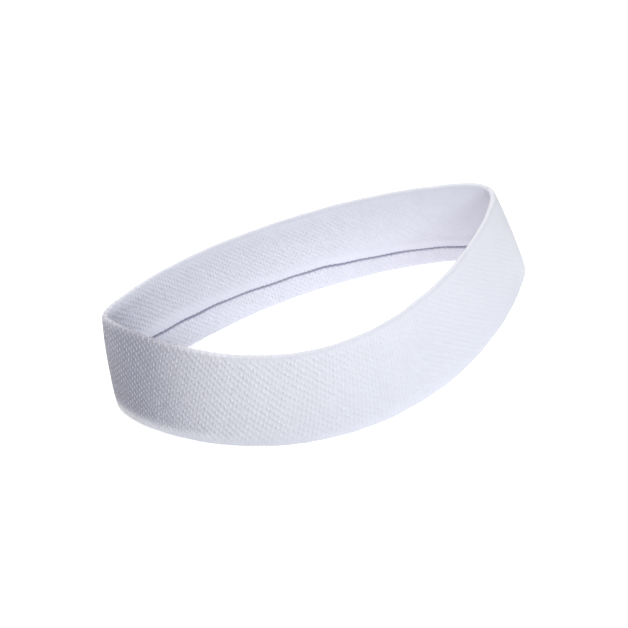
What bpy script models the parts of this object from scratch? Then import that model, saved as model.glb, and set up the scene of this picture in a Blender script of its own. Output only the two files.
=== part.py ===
"""A sports headband: one strip of white double knit, sewn into a soft flat tube that closes in a loop.

The strip's two ends are chainstitched together into a ring. The ring is folded lengthwise, its two long
edges are overlocked together, it is turned right side out through a short gap in that long seam, and the
gap is closed by hand. The long seam ends up on the inner face, low down, with its allowance lying upwards
inside the tube, where it raises a narrow ridge.

The loop stands on its lower edge. +X runs from the left crease to the right crease, +Y towards the back,
+Z up, and the origin is the centre of the box that holds it, at the height of the lower edge.
Lengths below are in millimetres. Places in the band's cross-section are pairs (out, up): out is the
distance outwards from the middle of the band's thickness, up is the distance from the lower edge.
"""

import math

import bmesh
import bpy
import numpy as np

MM = 0.001

# The band
BAND_WIDTH = 56.0
BAND_THICKNESS = 3.0
BAND_CROWN = 0.8
CLOTH_THICKNESS = 0.8
PRESSED_HEIGHT = 0.5

# The loop's two edges seen from above. left, right, front and back are how far each reaches from the loop's
# centre. The four powers say how pointed the loop is towards that crease: 1 is an ellipse, 2 a sharp point.
# The skews move the fullest point towards the right crease, and the shifts move a crease towards the back.
# The softnesses say how far the cloth's stiffness spreads each crease along the edge.
LOWER_EDGE = {
    "left": 110.9,
    "right": 106.0,
    "front": 74.9,
    "back": 34.5,
    "power_front_left": 1.39,
    "power_front_right": 1.63,
    "power_back_left": 1.33,
    "power_back_right": 1.46,
    "skew_front": 0.065,
    "skew_back": 0.024,
    "shift_left": 0.0,
    "shift_right": 0.0,
    "softness_left": 3.0,
    "softness_right": 4.5,
}
UPPER_EDGE = {
    "left": 101.0,
    "right": 102.1,
    "front": 74.2,
    "back": 26.8,
    "power_front_left": 2.00,
    "power_front_right": 1.61,
    "power_back_left": 1.53,
    "power_back_right": 1.28,
    "skew_front": 0.13,
    "skew_back": -0.05,
    "shift_left": 2.3,
    "shift_right": -0.9,
    "softness_left": 3.7,
    "softness_right": 6.5,
}

# The long seam on the inner face, as a share of the band's width, and its drift between the creases
SEAM_HEIGHT = 0.292
SEAM_DRIFT = 0.076
ALLOWANCE = 5.5
ALLOWANCE_GAP = 0.5
LOOPER_GAP = 0.45
FOLD_REACH = 2.0
RIDGE_SHOULDER = 1.0
RIDGE_FADE = 3.0
GROOVE_WIDTH = 3.8
GROOVE_LIP = 1.0

# Threads
THREAD = 0.3
END_THREAD = 0.22
OVERLOCK_REACH = 4.5
NEEDLE_INSET = (1.0, 3.2)
UPPER_LOOPER_LIFT = 1.0

# The end seam, just behind the right crease
END_SEAM_PLACE = 0.006
END_SEAM_GAP = 0.5
END_THREAD_SPACING = 0.4

# The turning gap, in the long seam of the front wall
GAP_CENTRE = 0.75
GAP_STITCHES = 13
GAP_RUNGS = (1.0, 1.45)

# How finely the solids are cut
STATIONS = 72
STATION_BUNCHING = 0.7
OUTLINE_POINTS = 1440
SOFTENED_POINTS = 720
ARC_STEPS = 4
OUTER_FACE_BREAK = 0.7
THREAD_SIDES = 6
DIRECTION_STEP = 0.0005
LEVEL_ENOUGH = 0.2
SHARP_ANGLE = math.radians(50.0)

KNIT_WHITE = (0.86, 0.87, 0.91, 1.0)
KNIT_ROUGHNESS = 0.9
THREAD_WHITE = (0.90, 0.90, 0.93, 1.0)
THREAD_ROUGHNESS = 0.6


def soften(x, y, softness_left, softness_right):
    """Round a closed outline off, as cloth that can't be creased sharply, evenly spaced along its length."""
    steps = np.hypot(np.roll(x, -1) - x, np.roll(y, -1) - y)
    travelled = np.concatenate([[0.0], np.cumsum(steps)])
    length = travelled[-1]
    share = np.arange(SOFTENED_POINTS) / SOFTENED_POINTS
    even_x = np.interp(share * length, travelled, np.append(x, x[0]))
    even_y = np.interp(share * length, travelled, np.append(y, y[0]))
    spectrum = np.fft.fft(even_x + 1j * even_y)
    waves = np.fft.fftfreq(SOFTENED_POINTS, 1.0 / SOFTENED_POINTS)

    def rounded(softness):
        fade = np.exp(-0.5 * (2.0 * math.pi * waves * softness / length) ** 2)
        return np.fft.ifft(spectrum * fade)

    left, right = rounded(softness_left), rounded(softness_right)
    rightness = (1.0 + np.cos(2.0 * math.pi * share)) / 2.0
    left_crease = travelled[len(x) // 2] / length
    return left + (right - left) * rightness, left_crease


def edge_points(edge, places):
    """Points on one edge. A place is 0 at the right crease, 0.5 at the left one, and 0.75 mid-front."""
    turn = np.linspace(0.0, 2.0 * math.pi, OUTLINE_POINTS, endpoint=False)
    across, along = np.sin(turn), np.cos(turn)
    rightness = (1.0 + along) / 2.0

    def blend(left, right):
        return edge[left] + (edge[right] - edge[left]) * rightness

    x = np.where(along > 0, edge["right"], edge["left"]) * along
    power_front = blend("power_front_left", "power_front_right")
    power_back = blend("power_back_left", "power_back_right")
    back = edge["back"] * np.abs(across) ** power_back * (1.0 + edge["skew_back"] * along)
    front = -edge["front"] * np.abs(across) ** power_front * (1.0 + edge["skew_front"] * along)
    y = np.where(across >= 0, back, front) + blend("shift_left", "shift_right")

    outline, left_crease = soften(x, y, edge["softness_left"], edge["softness_right"])
    back_half = 2.0 * places * left_crease
    front_half = left_crease + (2.0 * places - 1.0) * (1.0 - left_crease)
    share = np.where(places < 0.5, back_half, front_half) * len(outline)
    closed = np.append(outline, outline[0])
    index = np.arange(len(closed))
    return np.interp(share, index, closed.real), np.interp(share, index, closed.imag)


class Wall:
    """The band's wall at a series of places round the loop: its foot, and its up, along and out directions."""

    def __init__(self, places):
        self.places = places % 1.0
        ahead = self.at(self.places + DIRECTION_STEP)[0]
        behind = self.at(self.places - DIRECTION_STEP)[0]
        self.foot, self.up = self.at(self.places)[1:]
        along = ahead - behind
        self.along = along / np.linalg.norm(along, axis=1)[:, None]
        out = np.cross(self.along, self.up)
        self.out = out / np.linalg.norm(out, axis=1)[:, None]

    @staticmethod
    def at(places):
        """The wall's point half-way up, its foot and its up direction at each place."""
        places = places % 1.0
        lower_x, lower_y = edge_points(LOWER_EDGE, places)
        upper_x, upper_y = edge_points(UPPER_EDGE, places)
        rise = np.sqrt(BAND_WIDTH**2 - (upper_x - lower_x) ** 2 - (upper_y - lower_y) ** 2)
        foot = np.stack([lower_x, lower_y, np.zeros(len(places))], axis=1)
        up = np.stack([upper_x - lower_x, upper_y - lower_y, rise], axis=1) / BAND_WIDTH
        return foot + up * BAND_WIDTH / 2.0, foot, up

    def seam_height(self):
        """How far above the lower edge the long seam lies: lowest at the right crease."""
        drift = SEAM_DRIFT * np.cos(2.0 * math.pi * self.places)
        return (SEAM_HEIGHT - drift) * BAND_WIDTH

    def point(self, out, up, slide=0.0):
        """The point at (out, up) in each cross-section, moved by slide along the loop.

        The wall bulges outwards as a parabola, by BAND_CROWN half-way up.
        """
        up = up + np.zeros(len(self.places))
        share = up / BAND_WIDTH
        crown = BAND_CROWN * 4.0 * share * (1.0 - share)
        reach = (out + crown)[:, None]
        return self.foot + self.up * up[:, None] + self.out * reach + self.along * slide


def loop_places():
    """Places from one side of the end seam round to the other, bunched at the two creases."""
    even = np.arange(STATIONS + 1) / STATIONS
    bunched = even - STATION_BUNCHING / (4.0 * math.pi) * np.sin(4.0 * math.pi * even)
    return END_SEAM_PLACE + bunched


def arc(centre, radius, start, end):
    """Points on an arc in the cross-section, angles in degrees from outwards, turning towards up."""
    points = []
    for step in range(ARC_STEPS + 1):
        angle = math.radians(start + (end - start) * step / ARC_STEPS)
        out = centre[0] + radius * math.cos(angle)
        up = centre[1] + radius * math.sin(angle)
        points.append((out, up))
    return points


def cloth_layers():
    """How far out the middle of each layer of cloth lies: outer, inner, the two allowances and the ridge."""
    outer = (BAND_THICKNESS - CLOTH_THICKNESS) / 2.0
    lower_allowance = outer - CLOTH_THICKNESS - LOOPER_GAP
    upper_allowance = lower_allowance - CLOTH_THICKNESS - ALLOWANCE_GAP
    ridge = upper_allowance - CLOTH_THICKNESS - LOOPER_GAP
    return outer, -outer, lower_allowance, upper_allowance, ridge


def cloth_path(seam):
    """The middle of the cloth's thickness, from the upper allowance's cut edge round to the lower one's."""
    outer, inner, lower_allowance, upper_allowance, ridge = cloth_layers()
    fold = (upper_allowance - ridge) / 2.0
    half = BAND_THICKNESS / 2.0
    cut_edge = seam + ALLOWANCE
    shoulder = cut_edge + RIDGE_SHOULDER
    path = [(upper_allowance, cut_edge), (upper_allowance, seam + FOLD_REACH)]
    path += arc(((upper_allowance + ridge) / 2.0, seam + fold), fold, 0.0, -180.0)
    path += [(ridge, shoulder), (inner, shoulder + RIDGE_FADE)]
    path += [(inner, (cut_edge + BAND_WIDTH) / 2.0)]
    path += arc((0.0, BAND_WIDTH - half), outer, 180.0, 0.0)
    path += [(outer, BAND_WIDTH * OUTER_FACE_BREAK), (outer, cut_edge), (outer, seam)]
    path += arc((0.0, half), outer, 0.0, -180.0)
    path += [(inner, seam - GROOVE_WIDTH), (lower_allowance, seam - GROOVE_LIP)]
    path += [(lower_allowance, seam + ALLOWANCE / 2.0), (lower_allowance, cut_edge)]
    return np.array(path)


def thicken(path, thickness):
    """The closed outline of a line that is given a thickness, with mitred corners."""
    steps = np.diff(path, axis=0)
    steps /= np.linalg.norm(steps, axis=1)[:, None]
    sides = np.stack([-steps[:, 1], steps[:, 0]], axis=1)
    before = np.vstack([sides[:1], sides])
    after = np.vstack([sides, sides[-1:]])
    mitre = before + after
    mitre /= 0.5 * np.sum(mitre**2, axis=1)[:, None]
    left = path + mitre * thickness / 2.0
    right = path - mitre * thickness / 2.0
    return np.vstack([left, right[::-1]])


def strip_rings():
    """The strip's cross-section at every place, with the lower fold pressed flat where it rests."""
    wall = Wall(loop_places())
    slide = np.zeros((len(wall.places), 1))
    slide[0] = END_SEAM_GAP / 2.0
    slide[-1] = -END_SEAM_GAP / 2.0
    sections = np.array([thicken(cloth_path(seam), CLOTH_THICKNESS) for seam in wall.seam_height()])
    rings = np.stack([wall.point(s[:, 0], s[:, 1], slide) for s in np.swapaxes(sections, 0, 1)], axis=1)
    pressed = sections[..., 1] < PRESSED_HEIGHT
    rings[..., 2] = np.where(pressed, 0.0, rings[..., 2])
    return rings


def tube_rings(line, thickness):
    """Rings of a round thread along a line of points."""
    along = np.gradient(line, axis=0)
    along /= np.linalg.norm(along, axis=1)[:, None]
    side = np.cross(along, [0.0, 0.0, 1.0])
    upright = np.linalg.norm(side, axis=1) < LEVEL_ENOUGH
    side[upright] = np.cross(along[upright], [1.0, 0.0, 0.0])
    side /= np.linalg.norm(side, axis=1)[:, None]
    other = np.cross(along, side)
    angles = 2.0 * math.pi * np.arange(THREAD_SIDES) / THREAD_SIDES
    radius = thickness / 2.0
    spokes = side[:, None] * np.cos(angles)[None, :, None] + other[:, None] * np.sin(angles)[None, :, None]
    return line[:, None] + radius * spokes


def loft(name, rings, centre, material, collection, closed=False):
    """A solid through a series of rings with the same number of points, closed round the loop or capped."""
    mesh = bmesh.new()
    corners = [[mesh.verts.new((point - centre) * MM) for point in ring] for ring in rings]
    pairs = list(zip(corners, corners[1:]))
    if closed:
        pairs.append((corners[-1], corners[0]))
    count = len(corners[0])
    for ring, following in pairs:
        for i in range(count):
            j = (i + 1) % count
            mesh.faces.new((ring[i], ring[j], following[j], following[i]))
    if not closed:
        mesh.faces.new(corners[0])
        mesh.faces.new(corners[-1])
    bmesh.ops.triangulate(mesh, faces=[face for face in mesh.faces if len(face.verts) > 4])
    bmesh.ops.recalc_face_normals(mesh, faces=mesh.faces)
    data = bpy.data.meshes.new(name)
    mesh.to_mesh(data)
    mesh.free()
    data.shade_smooth()
    data.set_sharp_from_angle(angle=SHARP_ANGLE)
    data.materials.append(material)
    piece = bpy.data.objects.new(name, data)
    collection.objects.link(piece)
    return piece


def fabric(name, colour, roughness):
    material = bpy.data.materials.new(name)
    material.use_nodes = True
    shader = material.node_tree.nodes["Principled BSDF"]
    shader.inputs["Base Color"].default_value = colour
    shader.inputs["Roughness"].default_value = roughness
    shader.inputs["Metallic"].default_value = 0.0
    return material


def long_seam_threads():
    """The overlock's four threads: two needle threads between the allowances, a looper on each side."""
    outer, _, lower_allowance, upper_allowance, ridge = cloth_layers()
    wall = Wall(loop_places()[:-1])
    seam = wall.seam_height()
    between = (lower_allowance + upper_allowance) / 2.0
    lines = {}
    for side, inset in zip(("left", "right"), NEEDLE_INSET):
        lines[f"long_seam_{side}_needle_thread"] = wall.point(between, seam + inset)
    swing = np.where(np.arange(len(seam)) % 2 == 0, NEEDLE_INSET[0], OVERLOCK_REACH)
    outer_side = (outer + lower_allowance) / 2.0
    ridge_side = (upper_allowance + ridge) / 2.0
    lines["long_seam_upper_looper_thread"] = wall.point(ridge_side, seam + swing + UPPER_LOOPER_LIFT)
    lines["long_seam_lower_looper_thread"] = wall.point(outer_side, seam + swing)
    return lines


def end_seam_threads():
    """The chainstitch's two threads, side by side between the strip's ends, following the folded cloth."""
    wall = Wall(np.array([END_SEAM_PLACE]))
    path = cloth_path(wall.seam_height()[0])
    outline = thicken(path, END_THREAD_SPACING)
    lines = {}
    for name, side in (("needle", outline[: len(path)]), ("looper", outline[: len(path) - 1 : -1])):
        points = [wall.point(out, up)[0] for out, up in side]
        lines[f"end_seam_{name}_thread"] = np.array(points)
    return lines


def gap_thread():
    """The ladder stitch that closes the turning gap, in the groove below the seam's fold."""
    _, inner, _, _, ridge = cloth_layers()
    places = Wall(loop_places()[:-1]).places
    start = int(np.argmin(np.abs(places - GAP_CENTRE))) - GAP_STITCHES // 2
    wall = Wall(places[start : start + GAP_STITCHES])
    rungs = np.where(np.arange(GAP_STITCHES) % 2 == 0, *GAP_RUNGS)
    return wall.point((inner + ridge) / 2.0, wall.seam_height() - rungs)


def main():
    for old in list(bpy.data.objects):
        bpy.data.objects.remove(old)
    collection = bpy.data.collections.new("sports_headband")
    bpy.context.scene.collection.children.link(collection)
    knit = fabric("white_double_knit", KNIT_WHITE, KNIT_ROUGHNESS)
    thread = fabric("white_sewing_thread", THREAD_WHITE, THREAD_ROUGHNESS)

    strip = strip_rings()
    low, high = strip.min(axis=(0, 1)), strip.max(axis=(0, 1))
    centre = np.array([(low[0] + high[0]) / 2.0, (low[1] + high[1]) / 2.0, 0.0])
    loft("knit_strip", strip, centre, knit, collection)
    for name, line in long_seam_threads().items():
        closed_line = np.vstack([line[-1:], line, line[:1]])
        rings = tube_rings(closed_line, THREAD)[1:-1]
        loft(name, rings, centre, thread, collection, closed=True)
    for name, line in end_seam_threads().items():
        loft(name, tube_rings(line, END_THREAD), centre, thread, collection)
    loft("gap_closing_thread", tube_rings(gap_thread(), THREAD), centre, thread, collection)


main()
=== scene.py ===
"""The looks of a white knitted sports headband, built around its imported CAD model.

The cloth is one closed mesh: a strip folded lengthwise, its long edges turned in at the seam on the inner
face, its two ends butted together at the end seam. Its relief is the knit's own: a staggered lattice of
raised loops that follows the cloth over its folds, fine parts of it in the material. The seven threads are
twisted tubes with real stitches.

The band's lengths are in millimetres and are scaled to metres when a mesh is made. Those of its flat cut,
its materials and the studio are in metres. A place is a share of the way round the loop: 0 at the right
crease, 0.25 mid-back, 0.5 at the left crease and 0.75 mid-front.
"""

import math

import bpy
import numpy as np
from mathutils import Matrix, Vector


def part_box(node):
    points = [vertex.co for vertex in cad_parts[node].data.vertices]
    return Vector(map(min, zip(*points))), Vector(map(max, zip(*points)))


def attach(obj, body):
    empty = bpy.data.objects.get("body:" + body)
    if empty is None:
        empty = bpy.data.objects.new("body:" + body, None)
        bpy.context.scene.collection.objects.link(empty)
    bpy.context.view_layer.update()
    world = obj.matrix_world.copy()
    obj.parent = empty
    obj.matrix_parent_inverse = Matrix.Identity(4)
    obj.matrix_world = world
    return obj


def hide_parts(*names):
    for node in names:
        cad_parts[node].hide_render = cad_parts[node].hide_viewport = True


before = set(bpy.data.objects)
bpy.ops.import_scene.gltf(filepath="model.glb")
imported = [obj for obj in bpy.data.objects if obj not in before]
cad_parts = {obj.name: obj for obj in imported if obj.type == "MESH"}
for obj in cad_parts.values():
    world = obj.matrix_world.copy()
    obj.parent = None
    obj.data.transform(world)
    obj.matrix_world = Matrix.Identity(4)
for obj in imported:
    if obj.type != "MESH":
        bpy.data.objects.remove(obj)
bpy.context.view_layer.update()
MM = 0.001
TURN = 2.0 * math.pi

# The band, as the CAD model has it. Each edge is an outline seen from above: how far it reaches to each side,
# the power of each quarter's curve, its skew, the shift of its creases, and how softly it turns at them
BAND_WIDTH = 56.0
BAND_THICKNESS = 3.0
BAND_CROWN = 0.8
CLOTH_THICKNESS = 0.8
LOWER_EDGE = {
    "left": 110.9,
    "right": 106.0,
    "front": 74.9,
    "back": 34.5,
    "power_front_left": 1.39,
    "power_front_right": 1.63,
    "power_back_left": 1.33,
    "power_back_right": 1.46,
    "skew_front": 0.065,
    "skew_back": 0.024,
    "shift_left": 0.0,
    "shift_right": 0.0,
    "softness_left": 3.0,
    "softness_right": 4.5,
}
UPPER_EDGE = {
    "left": 101.0,
    "right": 102.1,
    "front": 74.2,
    "back": 26.8,
    "power_front_left": 2.00,
    "power_front_right": 1.61,
    "power_back_left": 1.53,
    "power_back_right": 1.28,
    "skew_front": 0.13,
    "skew_back": -0.05,
    "shift_left": 2.3,
    "shift_right": -0.9,
    "softness_left": 3.7,
    "softness_right": 6.5,
}
OUTLINE_POINTS = 4320
DIRECTION_STEP = 0.0015

# The long seam on the inner face: its height and drift as shares of the width, its wander (waves round the
# loop, phase, share), the turned-in allowances, the ridge that they raise, the groove under the folded edge
# and the puckers that the stitches pull
SEAM_HEIGHT = 0.292
SEAM_DRIFT = 0.076
SEAM_WANDER = 0.28
SEAM_WAVES = ((9.0, 1.0, 1.0), (23.0, 0.4, 0.6))
ALLOWANCE = 5.5
ALLOWANCE_GAP = 0.2
LOOPER_GAP = 0.2
RIDGE_END = 0.5
RIDGE_FADE = 1.0
RIDGE_MIDDLE = 4.2
RIDGE_REACH = 3.6
GROOVE_WIDTH = 2.8
GROOVE_LIP = 0.4
PUCKER = 0.1
PUCKER_MIDDLE = 1.0
PUCKER_REACH = 1.5

# The end seam
END_SEAM_PLACE = 0.006
END_SEAM_GAP = 0.3
END_ROUNDING = 0.8
END_DIP = 0.4
END_STEPS = (0.0, 0.08, 0.25, 0.5, 0.9)
END_MARGIN = 0.3

# The knit: its repeats per millimetre, and how far the front wall's are drawn out and lean
ROWS_PER_MM = 0.283
REPEATS_PER_MM = 0.335
DRAWN_OUT = 0.33
DRAWN_PLACE = 0.68
DRAWN_REACH = 0.12
LEAN = 0.085
LEAN_PLACE = 0.65
LEAN_REACH = 0.14
LEAN_SPAN = 28.0

# The loops' relief: ridges along the falling lines, broken into knots by the columns. How far they stand out
# varies round the loop, and they fade on the seam's ridge and on the folds, save for a rough stretch of rim
LOOP_HEIGHT = 0.4
LATTICE_LEVEL = 0.5
RIDGES = 0.2
COLUMNS = 0.11
KNOTS = 0.16
FINE_RIDGES = 0.06
FINE_PER_RIDGE = 2.0
FLATTENED = 0.9
FLATTENED_PLACE = 0.96
FLATTENED_REACH = 0.14
RAISED = 1.7
RAISED_PLACE = 0.54
RAISED_REACH = 0.07
RIDGE_SMOOTHNESS = 0.85
RIM_SMOOTHNESS = 0.85
RIM_REACH = 4.0
ROUGH_RIM_PLACE = 0.58
ROUGH_RIM_REACH = 0.1

# The slow unevenness of a soft wall: waves round the loop, millimetres across a radian, phase and share
UNDULATION = 0.16
UNDULATION_WAVES = ((5.0, 21.0, 0.0, 1.0), (13.0, -14.0, 2.0, 0.6), (29.0, 9.0, 4.0, 0.35))

# How finely the cloth is cut
STATIONS_PER_REPEAT = 4
STATIONS_PER_STITCH = 3
POINTS_PER_ROW = 4.0
ROW_SPACING = 1.0 / ROWS_PER_MM / POINTS_PER_ROW
FINE_SPACING = 0.35
ALLOWANCE_ROWS = 4
FOLD_START = 1.2
FOLD_SPAN = 4.6
GROOVE_START = 2.6
GROOVE_SPAN = 3.4
HIDDEN_ROWS = 30
SEAM_FOLD_STEPS = 6
RIM_STEPS = 8
SECTION_SOFTNESS = 0.2
STEPS_PER_SOFTNESS = 2
SMOOTHING_STEPS = 6
NORMAL_STEP = 0.15

# Threads: their diameters, stitches and twist. SIDEWAYS tips a thread's facing, so that it is never quite
# parallel to the thread
THREAD = 0.24
END_THREAD = 0.2
NEEDLE_INSET = (1.0, 3.2)
OVERLOCK_REACH = 4.5
THREAD_SIDES = 9
PLIES = 3
PLY_DEPTH = 0.14
TWIST_LENGTH = 1.1
SIDEWAYS = 0.05
THREAD_SPACING = 0.3
SAMPLES_PER_STITCH = 12
DIVE_SHARE = 0.1
NEEDLE_AT_FOLD = -0.05
END_STITCH = 2.2
END_CROSSING = 0.35
LADDER_PITCH = 2.8
LADDER_TOP = 0.6
LADDER_BOTTOM = 2.0
GAP_PLACES = (0.70, 0.80)

# Colours, and where painted shade darkens the knit: under the seam's folded edge and in the gaps of its open
# stretch
# The knit's lighter and darker tones, mixed by the lattice's painted light and shade and by its own uneven
# tone
KNIT_LIGHT = (0.745, 0.74, 0.81)
KNIT_SHADE = (0.66, 0.66, 0.75)
KNIT_PAINTED_SHADE = (0.29, 0.285, 0.39)
PAINTED_SHADE_DEPTH = 1.5
PAINTED_SHADE_REACH = 1.5
GAP_SHADE = 0.78
THREAD_LIGHT = (0.80, 0.80, 0.85)
THREAD_SHADE = (0.62, 0.62, 0.69)

# What makes up the knit's tone, each as a share. The lattice's share is painted light and shade, lighter on
# the loops' tops and darker between them; the columns, yarns, grain and patches are the knit's own uneven
# tone
LATTICE_SHADE = 0.62
COLUMN_SHADE = 0.12
YARN_SHADE = 0.18
GRAIN_SHADE = 0.3
PATCH_SHADE = 0.12

# The knit's fine patterns: noise scales per metre, yarns, and the bump of each pattern in metres
WANDER_SCALE = 260.0
WANDER = 0.22
PATCH_SCALE = 45.0
GRAIN_SCALE = 900.0
FIBRE_SCALE = 5200.0
COLUMNS_PER_REPEAT = 2.0
COURSES_PER_ROW = 5.0
YARN_SLANT = 0.3
YARN_DEPTH = 0.25
GRAIN_IN_LOOPS = 0.3
LEAST_GRAIN = 0.22
LOOP_BUMP = 0.0006
YARN_BUMP = 0.00006
YARN_STRENGTH = 0.5
FIBRE_BUMP = 0.00004
FIBRE_STRENGTH = 0.35
THREAD_FIBRE_SCALE = 6000.0
THREAD_BUMP = 0.00003
THREAD_STRENGTH = 0.4

# A surface's least roughness, and how much rougher its fibres make it
KNIT_ROUGHNESS = 0.75
KNIT_ROUGHER = 0.2
THREAD_ROUGHNESS = 0.45
THREAD_ROUGHER = 0.25

# The studio. The floor glows everywhere, more at each spot (place, reach, strength) and most far away. Its
# glow is painted light: it lights the band from below, and the spots inside and beside the band wash out its
# shadows on the floor.
# A lamp is its name, azimuth and elevation in degrees, distance, size, power and colour
FLOOR_REACH = 6.0
FLOOR_CLEARANCE = 0.0002
SKY_COLOUR = (1.0, 1.0, 1.0, 1.0)
SKY_STRENGTH = 1.0
FLOOR_GLOW = 0.18
FAR_GLOW = 0.9
LIT_REACH = 1.3
GLOW_SPOTS = (
    ((0.045, 0.01), 0.13, 0.58),
    ((-0.098, -0.04), 0.05, 0.25),
)
LAMPS = (
    ("key_lamp", 28.0, 33.0, 1.6, 0.6, 8.6, (0.90, 0.975, 0.99)),
    ("low_front_lamp", 12.0, 15.0, 1.6, 1.0, 2.1, (0.92, 0.975, 0.99)),
    ("high_front_lamp", -6.0, 52.0, 1.6, 1.0, 7.6, (0.97, 0.985, 0.99)),
    ("top_lamp", 0.0, 85.0, 1.6, 1.0, 5.6, (1.0, 0.985, 0.96)),
    ("back_lamp", 190.0, 50.0, 1.6, 1.0, 20.5, (1.0, 0.965, 0.925)),
)

# The camera looks at AIM, in the loop's own coordinates before it is centred
CAMERA_DISTANCE = 1140.0
CAMERA_AZIMUTH = math.radians(3.25)
CAMERA_ELEVATION = math.radians(40.0)
CAMERA_ROLL = math.radians(20.45)
CAMERA_LENS = 131.4
CAMERA_SHIFT = (0.0057, -0.0347)
AIM = np.array([0.0, 0.0, 28.5])


def smooth_closed(x, y, softness_left, softness_right):
    """A closed outline, evenly spaced and rounded off as cloth that can't be creased sharply."""
    steps = np.hypot(np.roll(x, -1) - x, np.roll(y, -1) - y)
    travelled = np.concatenate([[0.0], np.cumsum(steps)])
    length = travelled[-1]
    share = np.arange(OUTLINE_POINTS) / OUTLINE_POINTS
    even_x = np.interp(share * length, travelled, np.append(x, x[0]))
    even_y = np.interp(share * length, travelled, np.append(y, y[0]))
    spectrum = np.fft.fft(even_x + 1j * even_y)
    waves = np.fft.fftfreq(OUTLINE_POINTS, 1.0 / OUTLINE_POINTS)

    def rounded(softness):
        """The outline without its waves shorter than softness."""
        return np.fft.ifft(spectrum * np.exp(-0.5 * (TURN * waves * softness / length) ** 2))

    left, right = rounded(softness_left), rounded(softness_right)
    rightness = (1.0 + np.cos(TURN * share)) / 2.0
    return left + (right - left) * rightness, travelled[len(x) // 2] / length


def edge_outline(edge):
    """One edge of the loop seen from above, and the left crease's share of its length."""
    turn = np.linspace(0.0, TURN, OUTLINE_POINTS, endpoint=False)
    across, along = np.sin(turn), np.cos(turn)
    rightness = (1.0 + along) / 2.0

    def blend(name):
        """A value that changes evenly from the left crease's to the right crease's."""
        left, right = edge[name + "_left"], edge[name + "_right"]
        return left + (right - left) * rightness

    x = np.where(along > 0, edge["right"], edge["left"]) * along
    back = edge["back"] * np.abs(across) ** blend("power_back") * (1.0 + edge["skew_back"] * along)
    front = -edge["front"] * np.abs(across) ** blend("power_front") * (1.0 + edge["skew_front"] * along)
    y = np.where(across >= 0, back, front) + blend("shift")
    return smooth_closed(x, y, edge["softness_left"], edge["softness_right"])


LOWER_OUTLINE = edge_outline(LOWER_EDGE)
UPPER_OUTLINE = edge_outline(UPPER_EDGE)


def on_edge(edge_and_crease, places):
    """Points on an edge at a series of places."""
    outline, left_crease = edge_and_crease
    back_half = 2.0 * places * left_crease
    front_half = left_crease + (2.0 * places - 1.0) * (1.0 - left_crease)
    share = np.where(places < 0.5, back_half, front_half) * len(outline)
    closed = np.append(outline, outline[0])
    index = np.arange(len(closed))
    return np.interp(share, index, closed.real), np.interp(share, index, closed.imag)


def foot_and_up(places):
    """Where the wall stands at a series of places, and the direction in which it rises."""
    places = places % 1.0
    lower_x, lower_y = on_edge(LOWER_OUTLINE, places)
    upper_x, upper_y = on_edge(UPPER_OUTLINE, places)
    rise = np.sqrt(BAND_WIDTH**2 - (upper_x - lower_x) ** 2 - (upper_y - lower_y) ** 2)
    foot = np.stack([lower_x, lower_y, np.zeros(len(places))], axis=1)
    up = np.stack([upper_x - lower_x, upper_y - lower_y, rise], axis=1) / BAND_WIDTH
    return foot, up


def unit(vectors):
    """Vectors of length 1 in the given directions."""
    return vectors / np.linalg.norm(vectors, axis=-1, keepdims=True)


def bell(x):
    """1 at 0, falling off smoothly to both sides."""
    return np.exp(-(x**2))


def seam_height(places):
    """How far above the lower edge the long seam lies, with a sewn seam's small wander."""
    drift = SEAM_DRIFT * np.cos(TURN * places)
    wander = sum(share * np.sin(TURN * waves * places + phase) for waves, phase, share in SEAM_WAVES)
    return (SEAM_HEIGHT - drift) * BAND_WIDTH + SEAM_WANDER * wander


class Wall:
    """The band's wall at a series of places: its foot, and its up, along and out directions."""

    def __init__(self, places):
        self.foot, self.up = foot_and_up(places)
        foot_ahead, up_ahead = foot_and_up(places + DIRECTION_STEP)
        foot_behind, up_behind = foot_and_up(places - DIRECTION_STEP)
        half_way = BAND_WIDTH / 2.0
        self.along = unit(foot_ahead + up_ahead * half_way - foot_behind - up_behind * half_way)
        self.out = unit(np.cross(self.along, self.up))

    def point(self, out, up):
        """Points at (out, up) in the cross-sections. out and up are one row of values for each place."""
        out, up = np.atleast_2d(out.T).T, np.atleast_2d(up.T).T
        share = up / BAND_WIDTH
        reach = out + BAND_CROWN * 4.0 * share * (1.0 - share)
        lift = self.up[:, None] * up[..., None] + self.out[:, None] * reach[..., None]
        return self.foot[:, None] + lift


def arc(centre, radius, start, end, steps):
    """Points on an arc in the cross-section, angles in degrees from outwards, turning towards up."""
    angles = np.radians(np.linspace(start, end, steps + 1))
    return [(centre[0] + radius * math.cos(a), centre[1] + radius * math.sin(a)) for a in angles]


def cloth_layers():
    """How far out the middle of each layer of cloth lies: outer, inner, the two allowances and the ridge."""
    outer = (BAND_THICKNESS - CLOTH_THICKNESS) / 2.0
    lower_allowance = outer - CLOTH_THICKNESS - LOOPER_GAP
    upper_allowance = lower_allowance - CLOTH_THICKNESS - ALLOWANCE_GAP
    ridge = upper_allowance - CLOTH_THICKNESS - LOOPER_GAP
    return outer, -outer, lower_allowance, upper_allowance, ridge


def cloth_path(seam):
    """The middle of the cloth's thickness, from the upper allowance's cut edge round to the lower one's."""
    outer, inner, lower_allowance, upper_allowance, ridge = cloth_layers()
    fold = (upper_allowance - ridge) / 2.0
    half = BAND_THICKNESS / 2.0
    cut_edge = seam + ALLOWANCE
    path = [(upper_allowance, cut_edge)]
    path += arc(((upper_allowance + ridge) / 2.0, seam + fold), fold, 0.0, -180.0, SEAM_FOLD_STEPS)
    path += [(ridge, cut_edge - RIDGE_END), (inner, cut_edge + RIDGE_FADE)]
    path += arc((0.0, BAND_WIDTH - half), outer, 180.0, 0.0, RIM_STEPS)
    path += arc((0.0, half), outer, 0.0, -180.0, RIM_STEPS)
    path += [(inner, seam - GROOVE_WIDTH), (lower_allowance, seam - GROOVE_LIP)]
    path += [(lower_allowance, cut_edge)]
    return np.array(path)


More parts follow.
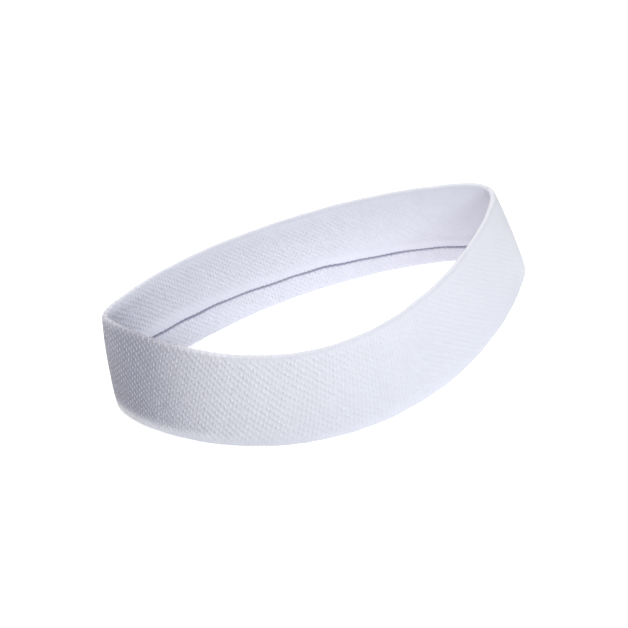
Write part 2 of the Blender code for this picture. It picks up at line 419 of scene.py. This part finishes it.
class Loop:
    """Lengths round the loop, measured half-way up the band from the end seam, and the knit's own repeats."""

    def __init__(self):
        places = END_SEAM_PLACE + np.linspace(0.0, 1.0, OUTLINE_POINTS + 1)
        foot, up = foot_and_up(places)
        middle = foot + up * BAND_WIDTH / 2.0
        steps = np.linalg.norm(np.diff(middle, axis=0), axis=1)
        self.places = places
        self.lengths = np.concatenate([[0.0], np.cumsum(steps)])
        self.total = self.lengths[-1]
        drawn = DRAWN_OUT * bell((places - DRAWN_PLACE) / DRAWN_REACH)
        repeats = REPEATS_PER_MM * (1.0 - drawn)
        between = (repeats[1:] + repeats[:-1]) / 2.0
        self.repeats = np.concatenate([[0.0], np.cumsum(between * steps)])

    def place(self, length):
        """The place at a length from the end seam."""
        return np.interp(length, self.lengths, self.places)

    def repeat(self, length):
        """How many of the knit's repeats lie between the end seam and a length."""
        return np.interp(length, self.lengths, self.repeats)

    def length_at(self, repeat):
        """The length at which a repeat lies."""
        return np.interp(repeat, self.repeats, self.lengths)

    def stations(self):
        """Lengths at which the cloth is cut: even in the knit's repeats, and close together at its ends."""
        first = END_SEAM_GAP / 2.0
        rounding = first + END_ROUNDING * np.array(END_STEPS)
        count = int(self.repeats[-1] * STATIONS_PER_REPEAT)
        even = self.length_at(np.arange(count + 1) / STATIONS_PER_REPEAT)
        inner = even[(even > rounding[-1] + END_MARGIN) & (even < self.total - rounding[-1] - END_MARGIN)]
        return np.concatenate([rounding, inner, self.total - rounding[::-1]])


LOOP = Loop()


def resampled(line, at, softness):
    """Points on an open line at the given distances along it, with its corners rounded."""
    step = softness / STEPS_PER_SOFTNESS
    travelled = np.concatenate([[0.0], np.cumsum(np.linalg.norm(np.diff(line, axis=0), axis=1))])
    fine = np.arange(0.0, travelled[-1], step)
    reach = np.arange(-SMOOTHING_STEPS, SMOOTHING_STEPS + 1)
    weights = np.exp(-0.5 * (reach / STEPS_PER_SOFTNESS) ** 2)
    weights /= weights.sum()
    columns = []
    for column in line.T:
        values = np.pad(np.interp(fine, travelled, column), SMOOTHING_STEPS, mode="edge")
        columns.append(np.interp(at, fine, np.convolve(values, weights, "valid")))
    return np.stack(columns, axis=1)


def section_length():
    """How long the cloth's section is from cut edge to cut edge, the same wherever the seam lies."""
    path = cloth_path(SEAM_HEIGHT * BAND_WIDTH)
    return np.sum(np.linalg.norm(np.diff(path, axis=0), axis=1))


def section_rows():
    """Distances along the section at which the cloth is cut: on its seen face, and back on its hidden one."""
    length = section_length()
    fold, groove = ALLOWANCE - FOLD_START, length - ALLOWANCE - GROOVE_START
    parts = [np.linspace(0.0, fold, ALLOWANCE_ROWS, endpoint=False)]
    parts.append(np.arange(fold, fold + FOLD_SPAN, FINE_SPACING))
    parts.append(np.arange(fold + FOLD_SPAN, groove, ROW_SPACING))
    parts.append(np.arange(groove, groove + GROOVE_SPAN, FINE_SPACING))
    parts.append(np.linspace(groove + GROOVE_SPAN, length, ALLOWANCE_ROWS + 1))
    return np.concatenate(parts), np.linspace(length, 0.0, HIDDEN_ROWS)


def cloth_section(seam, rows):
    """The middle of the cloth and its outward normal, as (out, up), at distances along the section."""
    path = cloth_path(seam)
    before = resampled(path, rows - NORMAL_STEP, SECTION_SOFTNESS)
    after = resampled(path, rows + NORMAL_STEP, SECTION_SOFTNESS)
    along = unit(after - before)
    return (before + after) / 2.0, np.stack([-along[:, 1], along[:, 0]], axis=1)


def knit_lattice(wale, row):
    """The relief in the mesh about its middle: ridges along the falling lines, fainter along the rising."""
    falling = np.cos(TURN * (wale + row))
    rising = np.cos(TURN * (wale - row))
    return RIDGES * falling + KNOTS / 2.0 * rising


def loop_prominence(places):
    """How far the loops stand out: least round the right crease, most where the left one bends hard."""
    place = places % 1.0
    from_flattest = (place - FLATTENED_PLACE + 0.5) % 1.0 - 0.5
    flattened = FLATTENED * bell(from_flattest / FLATTENED_REACH)
    raised = RAISED * bell((place - RAISED_PLACE) / RAISED_REACH)
    return 1.0 - flattened + raised


def end_dip(lengths):
    """How far the cloth's face sinks as it turns in at the end seam."""
    depth = np.minimum(lengths, LOOP.total - lengths) - END_SEAM_GAP / 2.0
    share = np.clip(1.0 - depth / END_ROUNDING, 0.0, 1.0)
    return END_DIP * (1.0 - np.sqrt(1.0 - share**2))


def undulation(places, travelled):
    """The slow unevenness of a soft wall, outwards, in millimetres."""
    swell = 0.0
    for waves, span, phase, share in UNDULATION_WAVES:
        swell = swell + share * np.sin(TURN * waves * places + travelled / span + phase)
    return UNDULATION * swell


def rim_smoothing(places, rows, upper_fold):
    """How much of the relief is left near the folds, whose middles are at upper_fold and a width beyond."""
    rough = bell((places % 1.0 - ROUGH_RIM_PLACE) / ROUGH_RIM_REACH)[:, None]
    upper = bell((rows - upper_fold) / RIM_REACH)
    lower = bell((rows - upper_fold - BAND_WIDTH) / RIM_REACH)
    return 1.0 - RIM_SMOOTHNESS * (upper * (1.0 - rough) + lower)


def strip_surface():
    """The strip's rings of points, and each point's knit coordinates (wale, row) and prominence."""
    lengths = LOOP.stations()
    places = LOOP.place(lengths)
    seams = seam_height(places)
    seen_rows, hidden_rows = section_rows()
    rows = np.concatenate([seen_rows, hidden_rows])
    seen = np.arange(len(rows)) < len(seen_rows)
    sections = np.array([cloth_section(seam, rows) for seam in seams])
    middle, normal = sections[:, 0], sections[:, 1]
    upper_fold = (ALLOWANCE + BAND_WIDTH - seams)[:, None]
    face_middle = upper_fold + BAND_WIDTH / 2.0

    lean = LEAN * bell((places % 1.0 - LEAN_PLACE) / LEAN_REACH)[:, None]
    wale = LOOP.repeat(lengths)[:, None] + lean * np.clip(rows - face_middle, -LEAN_SPAN, LEAN_SPAN)
    row = np.broadcast_to(ROWS_PER_MM * (seen_rows[-1] - rows), wale.shape)

    ridge = bell((rows - ALLOWANCE - RIDGE_MIDDLE) / RIDGE_REACH)
    prominence = loop_prominence(places)[:, None] * (1.0 - RIDGE_SMOOTHNESS * ridge)
    prominence = prominence * rim_smoothing(places, rows, upper_fold)
    loops = LOOP_HEIGHT * prominence * knit_lattice(wale, row)
    stitch = np.cos(TURN * wale * STATIONS_PER_REPEAT / STATIONS_PER_STITCH)
    pucker = PUCKER * stitch * bell((rows - ALLOWANCE - PUCKER_MIDDLE) / PUCKER_REACH)
    face = CLOTH_THICKNESS / 2.0 + loops + pucker - end_dip(lengths)[:, None]
    offset = np.where(seen, face, -CLOTH_THICKNESS / 2.0)
    sway = undulation(places[:, None], rows)
    out = middle[..., 0] + normal[..., 0] * offset + sway
    up = middle[..., 1] + normal[..., 1] * offset
    points = Wall(places).point(out, up)
    points[..., 2] = np.maximum(points[..., 2], 0.0)
    return points, np.stack([wale, row], axis=-1), prominence


def centring():
    """What moves the loop's own coordinates to the CAD strip's place."""
    places = np.linspace(0.0, 1.0, OUTLINE_POINTS)
    half = BAND_THICKNESS / 2.0
    corners_out = np.tile([-half, half, -half, half], (OUTLINE_POINTS, 1))
    corners_up = np.tile([half, half, BAND_WIDTH - half, BAND_WIDTH - half], (OUTLINE_POINTS, 1))
    points = Wall(places).point(corners_out, corners_up).reshape(-1, 3)
    low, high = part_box("knit_strip")
    cad = (np.array(low) + np.array(high)) / 2.0 / MM
    move = cad - (points.min(axis=0) + points.max(axis=0)) / 2.0
    move[2] = 0.0
    return move


CENTRING = centring()


def lofted_mesh(name, rings, closed, uv=None, prominence=None):
    """A mesh through rings of points in millimetres, closed end to end or capped."""
    count, size = rings.shape[:2]
    index = np.arange(count * size).reshape(count, size)
    ahead = np.roll(index, -1, axis=0) if closed else index[1:]
    here = index if closed else index[:-1]
    quads = [here, np.roll(here, -1, axis=1), np.roll(ahead, -1, axis=1), ahead]
    faces = np.stack(quads, axis=-1).reshape(-1, 4).tolist()
    if not closed:
        faces += [index[0][::-1].tolist(), index[-1].tolist()]
    mesh = bpy.data.meshes.new(name)
    mesh.from_pydata(((rings.reshape(-1, 3) + CENTRING) * MM).tolist(), [], faces)
    if uv is not None:
        layer = mesh.uv_layers.new(name="Knit")
        corners = np.zeros(len(mesh.loops), np.int32)
        mesh.loops.foreach_get("vertex_index", corners)
        layer.data.foreach_set("uv", uv.reshape(-1, 2)[corners].astype(np.float32).ravel())
    if prominence is not None:
        layer = mesh.attributes.new("Prominence", "FLOAT", "POINT")
        layer.data.foreach_set("value", prominence.astype(np.float32).ravel())
    mesh.shade_smooth()
    mesh.validate()
    return mesh


def piece(name, mesh, material, node):
    """A finished piece in the scene, standing for its CAD node."""
    thing = bpy.data.objects.new(name, mesh)
    bpy.context.scene.collection.objects.link(thing)
    mesh.materials.append(material)
    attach(thing, "root")
    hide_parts(node)
    return thing


def thread_line(lengths, out, up):
    """Points of a thread at given lengths round the loop, and the outward direction at each."""
    wall = Wall(LOOP.place(lengths))
    return wall.point(out[:, None], up[:, None])[:, 0], wall.out


def even_line(line, spacing, closed):
    """A line of points resampled at even steps."""
    if closed:
        line = np.vstack([line, line[:1]])
    travelled = np.concatenate([[0.0], np.cumsum(np.linalg.norm(np.diff(line, axis=0), axis=1))])
    count = int(travelled[-1] / spacing)
    wanted = np.linspace(0.0, travelled[-1], count, endpoint=not closed)
    return np.stack([np.interp(wanted, travelled, line[:, k]) for k in range(line.shape[1])], axis=1)


def twisted_thread(line, facing, diameter, spacing, closed):
    """Rings of a plied thread: a lobed outline that turns once in every TWIST_LENGTH."""
    both = even_line(np.hstack([line, facing]), spacing, closed)
    line, facing = both[:, :3], both[:, 3:]
    if closed:
        along = unit(np.roll(line, -1, axis=0) - np.roll(line, 1, axis=0))
    else:
        along = unit(np.gradient(line, axis=0))
    facing = facing + SIDEWAYS * np.array([0.0, 0.0, 1.0])
    side = unit(np.cross(along, facing))
    other = np.cross(along, side)
    angles = TURN * np.arange(THREAD_SIDES) / THREAD_SIDES
    turned = TURN * np.arange(len(line)) * spacing / TWIST_LENGTH
    lobes = 1.0 + PLY_DEPTH * np.cos(PLIES * (angles[None] - turned[:, None]))
    radius = (diameter / 2.0 * lobes)[..., None]
    spokes = side[:, None] * np.cos(angles)[None, :, None] + other[:, None] * np.sin(angles)[None, :, None]
    return line[:, None] + radius * spokes


def stitch_samples(per_stitch):
    """Lengths round the loop at even steps of the long seam's stitches, and each one's share of a stitch."""
    repeats_per_stitch = STATIONS_PER_STITCH / STATIONS_PER_REPEAT
    stitches = int(LOOP.repeats[-1] / repeats_per_stitch)
    share = np.arange(stitches * per_stitch) / per_stitch
    return LOOP.length_at(share / stitches * LOOP.repeats[-1]), share


def needle_line(inset):
    """A needle thread: it lies on the upper ply, and once a stitch it dives through to the lower looper."""
    _, _, lower, upper, _ = cloth_layers()
    lengths, share = stitch_samples(SAMPLES_PER_STITCH)
    surface = upper - CLOTH_THICKNESS / 2.0 - THREAD / 2.0
    bottom = lower + CLOTH_THICKNESS / 2.0 + THREAD / 2.0
    dive = bell(((share + 0.5) % 1.0 - 0.5) / DIVE_SHARE)
    seam = seam_height(LOOP.place(lengths))
    return thread_line(lengths, surface + (bottom - surface) * dive, seam + inset)


def looper_line(on_upper_ply):
    """A looper thread: it zigzags between the needle thread and the plies' cut edge."""
    outer, _, lower, upper, ridge = cloth_layers()
    lengths, share = stitch_samples(SAMPLES_PER_STITCH)
    level = (upper + ridge) / 2.0 if on_upper_ply else (outer + lower) / 2.0
    swing = 0.5 + 0.5 * np.cos(TURN * share)
    up = seam_height(LOOP.place(lengths)) + NEEDLE_INSET[0] + (OVERLOCK_REACH - NEEDLE_INSET[0]) * swing
    return thread_line(lengths, np.full_like(up, level), up)


def ladder_line():
    """The hand-sewn thread that closes the turning gap: slanting stitches across the groove."""
    _, inner, _, _, ridge = cloth_layers()
    ends = np.interp(np.array(GAP_PLACES), LOOP.places, LOOP.lengths)
    stitches = int((ends[1] - ends[0]) / LADDER_PITCH)
    share = np.linspace(0.0, stitches, stitches * SAMPLES_PER_STITCH + 1)
    lengths = ends[0] + share * LADDER_PITCH
    across = 0.5 + 0.5 * np.cos(TURN * share)
    seam = seam_height(LOOP.place(lengths))
    up = seam + LADDER_TOP - (LADDER_TOP + LADDER_BOTTOM) * across
    out = ridge + (inner - ridge) * across - CLOTH_THICKNESS / 2.0
    return thread_line(lengths, out, up)


def end_line(side, depth):
    """A thread of the end seam, following the folded cloth and crossing from end to end at each stitch."""
    place = np.array([END_SEAM_PLACE])
    rows = np.arange(ALLOWANCE, section_length() - ALLOWANCE, END_STITCH / SAMPLES_PER_STITCH)
    middle, normal = cloth_section(seam_height(place)[0], rows)
    line = middle + normal * (CLOTH_THICKNESS / 2.0 - depth)
    slide = side * END_CROSSING * np.sin(TURN * rows / END_STITCH)
    wall = Wall(place)
    points = wall.point(line[None, :, 0], line[None, :, 1])[0] + wall.along * slide[:, None]
    facing = wall.out * normal[:, :1] + wall.up * normal[:, 1:]
    return points, facing


def mixed(tree, factor, low, high):
    """A colour between two, by a factor from 0 to 1."""
    mix = tree.nodes.new("ShaderNodeMix")
    mix.data_type = "RGBA"
    for socket, colour in (("A", low), ("B", high)):
        if isinstance(colour, tuple):
            mix.inputs[socket].default_value = (*colour, 1.0)
        else:
            tree.links.new(colour, mix.inputs[socket])
    tree.links.new(factor, mix.inputs["Factor"])
    return mix.outputs["Result"]


def calculated(tree, operation, first, second=None, third=None):
    """The output of one Math node, whose inputs are sockets or numbers."""
    node = tree.nodes.new("ShaderNodeMath")
    node.operation = operation
    for socket, value in zip(node.inputs, (first, second, third)):
        if value is None:
            continue
        if isinstance(value, (int, float)):
            socket.default_value = value
        else:
            tree.links.new(value, socket)
    return node.outputs["Value"]


def noise(tree, vector, scale, detail=2.0):
    """Smooth noise from 0 to 1, scale repeats to a metre."""
    node = tree.nodes.new("ShaderNodeTexNoise")
    node.inputs["Scale"].default_value = scale
    node.inputs["Detail"].default_value = detail
    tree.links.new(vector, node.inputs["Vector"])
    return node.outputs["Fac"]


def bumped(tree, shader, height, strength, distance, under=None):
    """A shader whose face is raised by a height, on top of an earlier bump."""
    node = tree.nodes.new("ShaderNodeBump")
    node.inputs["Strength"].default_value = strength
    node.inputs["Distance"].default_value = distance
    tree.links.new(height, node.inputs["Height"])
    if under is not None:
        tree.links.new(under, node.inputs["Normal"])
    tree.links.new(node.outputs["Normal"], shader.inputs["Normal"])
    return node.outputs["Normal"]


def wave(tree, phase, times=1.0):
    """The cosine of a phase that is given in whole turns, some times over."""
    return calculated(tree, "COSINE", calculated(tree, "MULTIPLY", phase, TURN * times))


def knit_coordinates(tree):
    """The knit's own coordinates: how many repeats along the loop, and how many across the strip."""
    uv = tree.nodes.new("ShaderNodeUVMap")
    uv.uv_map = "Knit"
    axes = tree.nodes.new("ShaderNodeSeparateXYZ")
    tree.links.new(uv.outputs["UV"], axes.inputs["Vector"])
    return axes.outputs["X"], axes.outputs["Y"]


def lattice_pattern(tree, wale, row, columns):
    """The loops' height from 0 to 1: falling ridges that the columns break into knots."""
    falling = calculated(tree, "ADD", wale, row)
    broken = calculated(tree, "MULTIPLY_ADD", columns, KNOTS, RIDGES)
    height = calculated(tree, "MULTIPLY_ADD", columns, COLUMNS, LATTICE_LEVEL)
    height = calculated(tree, "MULTIPLY_ADD", wave(tree, falling, FINE_PER_RIDGE), FINE_RIDGES, height)
    return calculated(tree, "MULTIPLY_ADD", wave(tree, falling), broken, height)


def yarn_pattern(tree, wale, row):
    """The yarns' height from 0 to 1: fine courses that slant to and fro, crossed by fine lines."""
    slant = calculated(tree, "MULTIPLY", wave(tree, wale, COLUMNS_PER_REPEAT), YARN_SLANT)
    course = calculated(tree, "MULTIPLY_ADD", row, COURSES_PER_ROW, slant)
    height = calculated(tree, "MULTIPLY_ADD", wave(tree, course), YARN_DEPTH, 0.5)
    return calculated(tree, "MULTIPLY_ADD", wave(tree, wale, COURSES_PER_ROW), YARN_DEPTH, height)


def painted_shade_pattern(tree, row, lattice, prominence):
    """How much painted shade darkens the cloth, from 0 to 1: on both sides of the groove, and in the open
    gaps.
    """
    openness = calculated(tree, "MAXIMUM", calculated(tree, "SUBTRACT", prominence, 1.0), 0.0)
    gaps = calculated(tree, "MULTIPLY", calculated(tree, "SUBTRACT", 1.0, lattice), openness)
    painted_shade = calculated(tree, "MULTIPLY", gaps, GAP_SHADE)
    for depth in (ALLOWANCE + PAINTED_SHADE_DEPTH, section_length() - ALLOWANCE):
        per_row = 1.0 / (ROWS_PER_MM * PAINTED_SHADE_REACH)
        away = calculated(tree, "MULTIPLY_ADD", row, per_row, -depth / PAINTED_SHADE_REACH)
        inside = calculated(tree, "SUBTRACT", 1.0, calculated(tree, "MULTIPLY", away, away))
        painted_shade = calculated(tree, "MAXIMUM", painted_shade, inside)
    return painted_shade


def knit_material():
    """White double knit: a staggered lattice of raised loops of fine yarns, with painted shade where it lies
    deep and between the loops.
    """
    material = bpy.data.materials.new("white_double_knit")
    material.use_nodes = True
    tree = material.node_tree
    shader = tree.nodes["Principled BSDF"]
    shader.inputs["Sheen Weight"].default_value = 0.25
    shader.inputs["Sheen Roughness"].default_value = 0.5
    shader.inputs["Specular IOR Level"].default_value = 0.25

    wale, row = knit_coordinates(tree)
    place = tree.nodes.new("ShaderNodeTexCoord").outputs["Object"]
    attribute = tree.nodes.new("ShaderNodeAttribute")
    attribute.attribute_name = "Prominence"
    prominence = attribute.outputs["Fac"]
    grain = noise(tree, place, GRAIN_SCALE, 1.0)
    fibre = noise(tree, place, FIBRE_SCALE, 3.0)
    patches = noise(tree, place, PATCH_SCALE)
    wander = calculated(tree, "SUBTRACT", noise(tree, place, WANDER_SCALE), 0.5)
    uneven_wale = calculated(tree, "MULTIPLY_ADD", wander, WANDER, wale)
    columns = wave(tree, uneven_wale, COLUMNS_PER_REPEAT)
    lattice = lattice_pattern(tree, uneven_wale, row, columns)
    yarn = yarn_pattern(tree, wale, row)

    # Painted light and shade: the colour is lighter on the loops' tops and darker between them, less where
    # they lie flat
    seen = calculated(tree, "MINIMUM", prominence, 1.0)
    relief = calculated(tree, "SUBTRACT", lattice, LATTICE_LEVEL)
    seen_lattice = calculated(tree, "MULTIPLY_ADD", relief, seen, LATTICE_LEVEL)
    seen_lattice = calculated(tree, "MULTIPLY_ADD", columns, COLUMN_SHADE, seen_lattice)
    shade = calculated(tree, "MULTIPLY", seen_lattice, LATTICE_SHADE)
    for pattern, share in ((yarn, YARN_SHADE), (grain, GRAIN_SHADE), (patches, PATCH_SHADE)):
        shade = calculated(tree, "MULTIPLY_ADD", pattern, share, shade)
    # Painted shade: the knit's colour darkens on both sides of the seam's groove and in the gaps of its open
    # stretch
    painted_shade = painted_shade_pattern(tree, row, lattice, prominence)
    open_cloth = mixed(tree, shade, KNIT_SHADE, KNIT_LIGHT)
    tree.links.new(mixed(tree, painted_shade, open_cloth, KNIT_PAINTED_SHADE), shader.inputs["Base Color"])
    roughness = calculated(tree, "MULTIPLY_ADD", fibre, KNIT_ROUGHER, KNIT_ROUGHNESS)
    tree.links.new(roughness, shader.inputs["Roughness"])

    grainy = calculated(tree, "MULTIPLY_ADD", grain, GRAIN_IN_LOOPS, lattice)
    standing = calculated(tree, "MULTIPLY", grainy, prominence)
    standing = calculated(tree, "MULTIPLY_ADD", grain, LEAST_GRAIN, standing)
    loops = bumped(tree, shader, standing, 1.0, LOOP_BUMP)
    yarns = bumped(tree, shader, yarn, YARN_STRENGTH, YARN_BUMP, loops)
    bumped(tree, shader, fibre, FIBRE_STRENGTH, FIBRE_BUMP, yarns)
    return material


def thread_material():
    """White polyester sewing thread, a little glossier than the knit."""
    material = bpy.data.materials.new("white_sewing_thread")
    material.use_nodes = True
    tree = material.node_tree
    shader = tree.nodes["Principled BSDF"]
    shader.inputs["Sheen Weight"].default_value = 0.1
    place = tree.nodes.new("ShaderNodeTexCoord").outputs["Object"]
    fibre = noise(tree, place, THREAD_FIBRE_SCALE)
    tree.links.new(mixed(tree, fibre, THREAD_SHADE, THREAD_LIGHT), shader.inputs["Base Color"])
    roughness = calculated(tree, "MULTIPLY_ADD", fibre, THREAD_ROUGHER, THREAD_ROUGHNESS)
    tree.links.new(roughness, shader.inputs["Roughness"])
    bumped(tree, shader, fibre, THREAD_STRENGTH, THREAD_BUMP)
    return material


def spot(tree, place, reach):
    """A round spot on the floor: 1 at its middle and 0 from reach outwards."""
    mapping = tree.nodes.new("ShaderNodeMapping")
    mapping.vector_type = "TEXTURE"
    mapping.inputs["Location"].default_value = (*place, 0.0)
    mapping.inputs["Scale"].default_value = (reach, reach, reach)
    tree.links.new(tree.nodes.new("ShaderNodeTexCoord").outputs["Object"], mapping.inputs["Vector"])
    gradient = tree.nodes.new("ShaderNodeTexGradient")
    gradient.gradient_type = "SPHERICAL"
    tree.links.new(mapping.outputs["Vector"], gradient.inputs["Vector"])
    return gradient.outputs["Fac"]


def floor_material():
    """A white floor that glows softly, which is painted light: a little everywhere, more at the spots where
    the band's shadows fall, and fully far away.
    """
    material = bpy.data.materials.new("pale_floor")
    material.use_nodes = True
    tree = material.node_tree
    shader = tree.nodes["Principled BSDF"]
    shader.inputs["Base Color"].default_value = (0.97, 0.97, 0.97, 1.0)
    shader.inputs["Roughness"].default_value = 0.9
    shader.inputs["Specular IOR Level"].default_value = 0.1
    shader.inputs["Emission Color"].default_value = (1.0, 1.0, 1.0, 1.0)
    away = calculated(tree, "SUBTRACT", 1.0, spot(tree, (0.0, 0.0), LIT_REACH))
    glow = calculated(tree, "MULTIPLY_ADD", calculated(tree, "MULTIPLY", away, away), FAR_GLOW, FLOOR_GLOW)
    # Painted light: glowing spots on the floor where the band's shadows fall
    for place, reach, strength in GLOW_SPOTS:
        glow = calculated(tree, "MULTIPLY_ADD", spot(tree, place, reach), strength, glow)
    tree.links.new(glow, shader.inputs["Emission Strength"])
    return material


def make_band():
    """The cloth and the seven threads that sew it."""
    knit, thread = knit_material(), thread_material()
    rings, coordinates, prominence = strip_surface()
    mesh = lofted_mesh("folded_knit_strip", rings, False, coordinates, prominence)
    strip = piece("folded_knit_strip", mesh, knit, "knit_strip")

    def sew(node, line, diameter, closed):
        """One thread along a line, standing for its CAD node."""
        rings = twisted_thread(*line, diameter, THREAD_SPACING, closed)
        mesh = lofted_mesh("sewn_" + node, rings, closed)
        piece("sewn_" + node, mesh, thread, node)

    sew("long_seam_left_needle_thread", needle_line(NEEDLE_AT_FOLD), THREAD, True)
    sew("long_seam_right_needle_thread", needle_line(NEEDLE_INSET[1]), THREAD, True)
    sew("long_seam_upper_looper_thread", looper_line(True), THREAD, True)
    sew("long_seam_lower_looper_thread", looper_line(False), THREAD, True)
    sew("end_seam_needle_thread", end_line(1.0, END_DIP), END_THREAD, False)
    sew("end_seam_looper_thread", end_line(-1.0, CLOTH_THICKNESS), END_THREAD, False)
    sew("gap_closing_thread", ladder_line(), THREAD, False)


def make_studio():
    """A pale floor and soft round lamps: a key from the right, two in front, one above and one behind."""
    mesh = bpy.data.meshes.new("studio_floor")
    reach = FLOOR_REACH
    corners = [(-reach, -reach, 0.0), (reach, -reach, 0.0), (reach, reach, 0.0), (-reach, reach, 0.0)]
    mesh.from_pydata(corners, [], [(0, 1, 2, 3)])
    mesh.materials.append(floor_material())
    floor = bpy.data.objects.new("studio_floor", mesh)
    floor.location.z = -FLOOR_CLEARANCE
    bpy.context.scene.collection.objects.link(floor)

    for name, azimuth, elevation, distance, size, power, colour in LAMPS:
        data = bpy.data.lights.new(name, "AREA")
        data.shape = "DISK"
        data.size = size
        data.energy = power
        data.color = colour
        lamp = bpy.data.objects.new(name, data)
        bpy.context.scene.collection.objects.link(lamp)
        away = direction(math.radians(azimuth), math.radians(elevation))
        lamp.matrix_world = aimed(away * distance, away, 0.0)


def make_sky():
    """An even white sky behind everything, seen by the camera and in gloss. It gives no diffuse light."""
    world = bpy.data.worlds.new("pale_sky")
    world.use_nodes = True
    background = world.node_tree.nodes["Background"]
    background.inputs["Color"].default_value = SKY_COLOUR
    background.inputs["Strength"].default_value = SKY_STRENGTH
    world.cycles_visibility.diffuse = False
    bpy.context.scene.world = world


def direction(azimuth, elevation):
    """The unit vector towards a viewer; azimuth 0 is in front (-Y), turning towards the right (+X)."""
    flat = math.cos(elevation)
    return Vector((math.sin(azimuth) * flat, -math.cos(azimuth) * flat, math.sin(elevation)))


def aimed(place, back, roll):
    """A matrix at place, looking against back, rolled about that line."""
    right = Vector((0.0, 0.0, 1.0)).cross(back).normalized()
    up = back.cross(right)
    cos, sin = math.cos(roll), math.sin(roll)
    axes = (cos * right - sin * up, sin * right + cos * up, back)
    matrix = Matrix([[axis[k] for axis in axes] for k in range(3)]).to_4x4()
    matrix.translation = place
    return matrix


def make_camera():
    """The camera: a long lens a little over a metre away, looking down and rolled."""
    data = bpy.data.cameras.new("camera")
    data.lens = CAMERA_LENS
    data.sensor_width = 36.0
    data.shift_x, data.shift_y = CAMERA_SHIFT
    data.clip_start, data.clip_end = 0.05, 50.0
    camera = bpy.data.objects.new("camera", data)
    bpy.context.scene.collection.objects.link(camera)
    back = direction(CAMERA_AZIMUTH, CAMERA_ELEVATION)
    target = Vector((AIM + CENTRING) * MM)
    camera.matrix_world = aimed(target + back * CAMERA_DISTANCE * MM, back, CAMERA_ROLL)
    bpy.context.scene.camera = camera


make_band()
make_studio()
make_sky()
make_camera()
bpy.context.scene.view_settings.view_transform = "Standard"
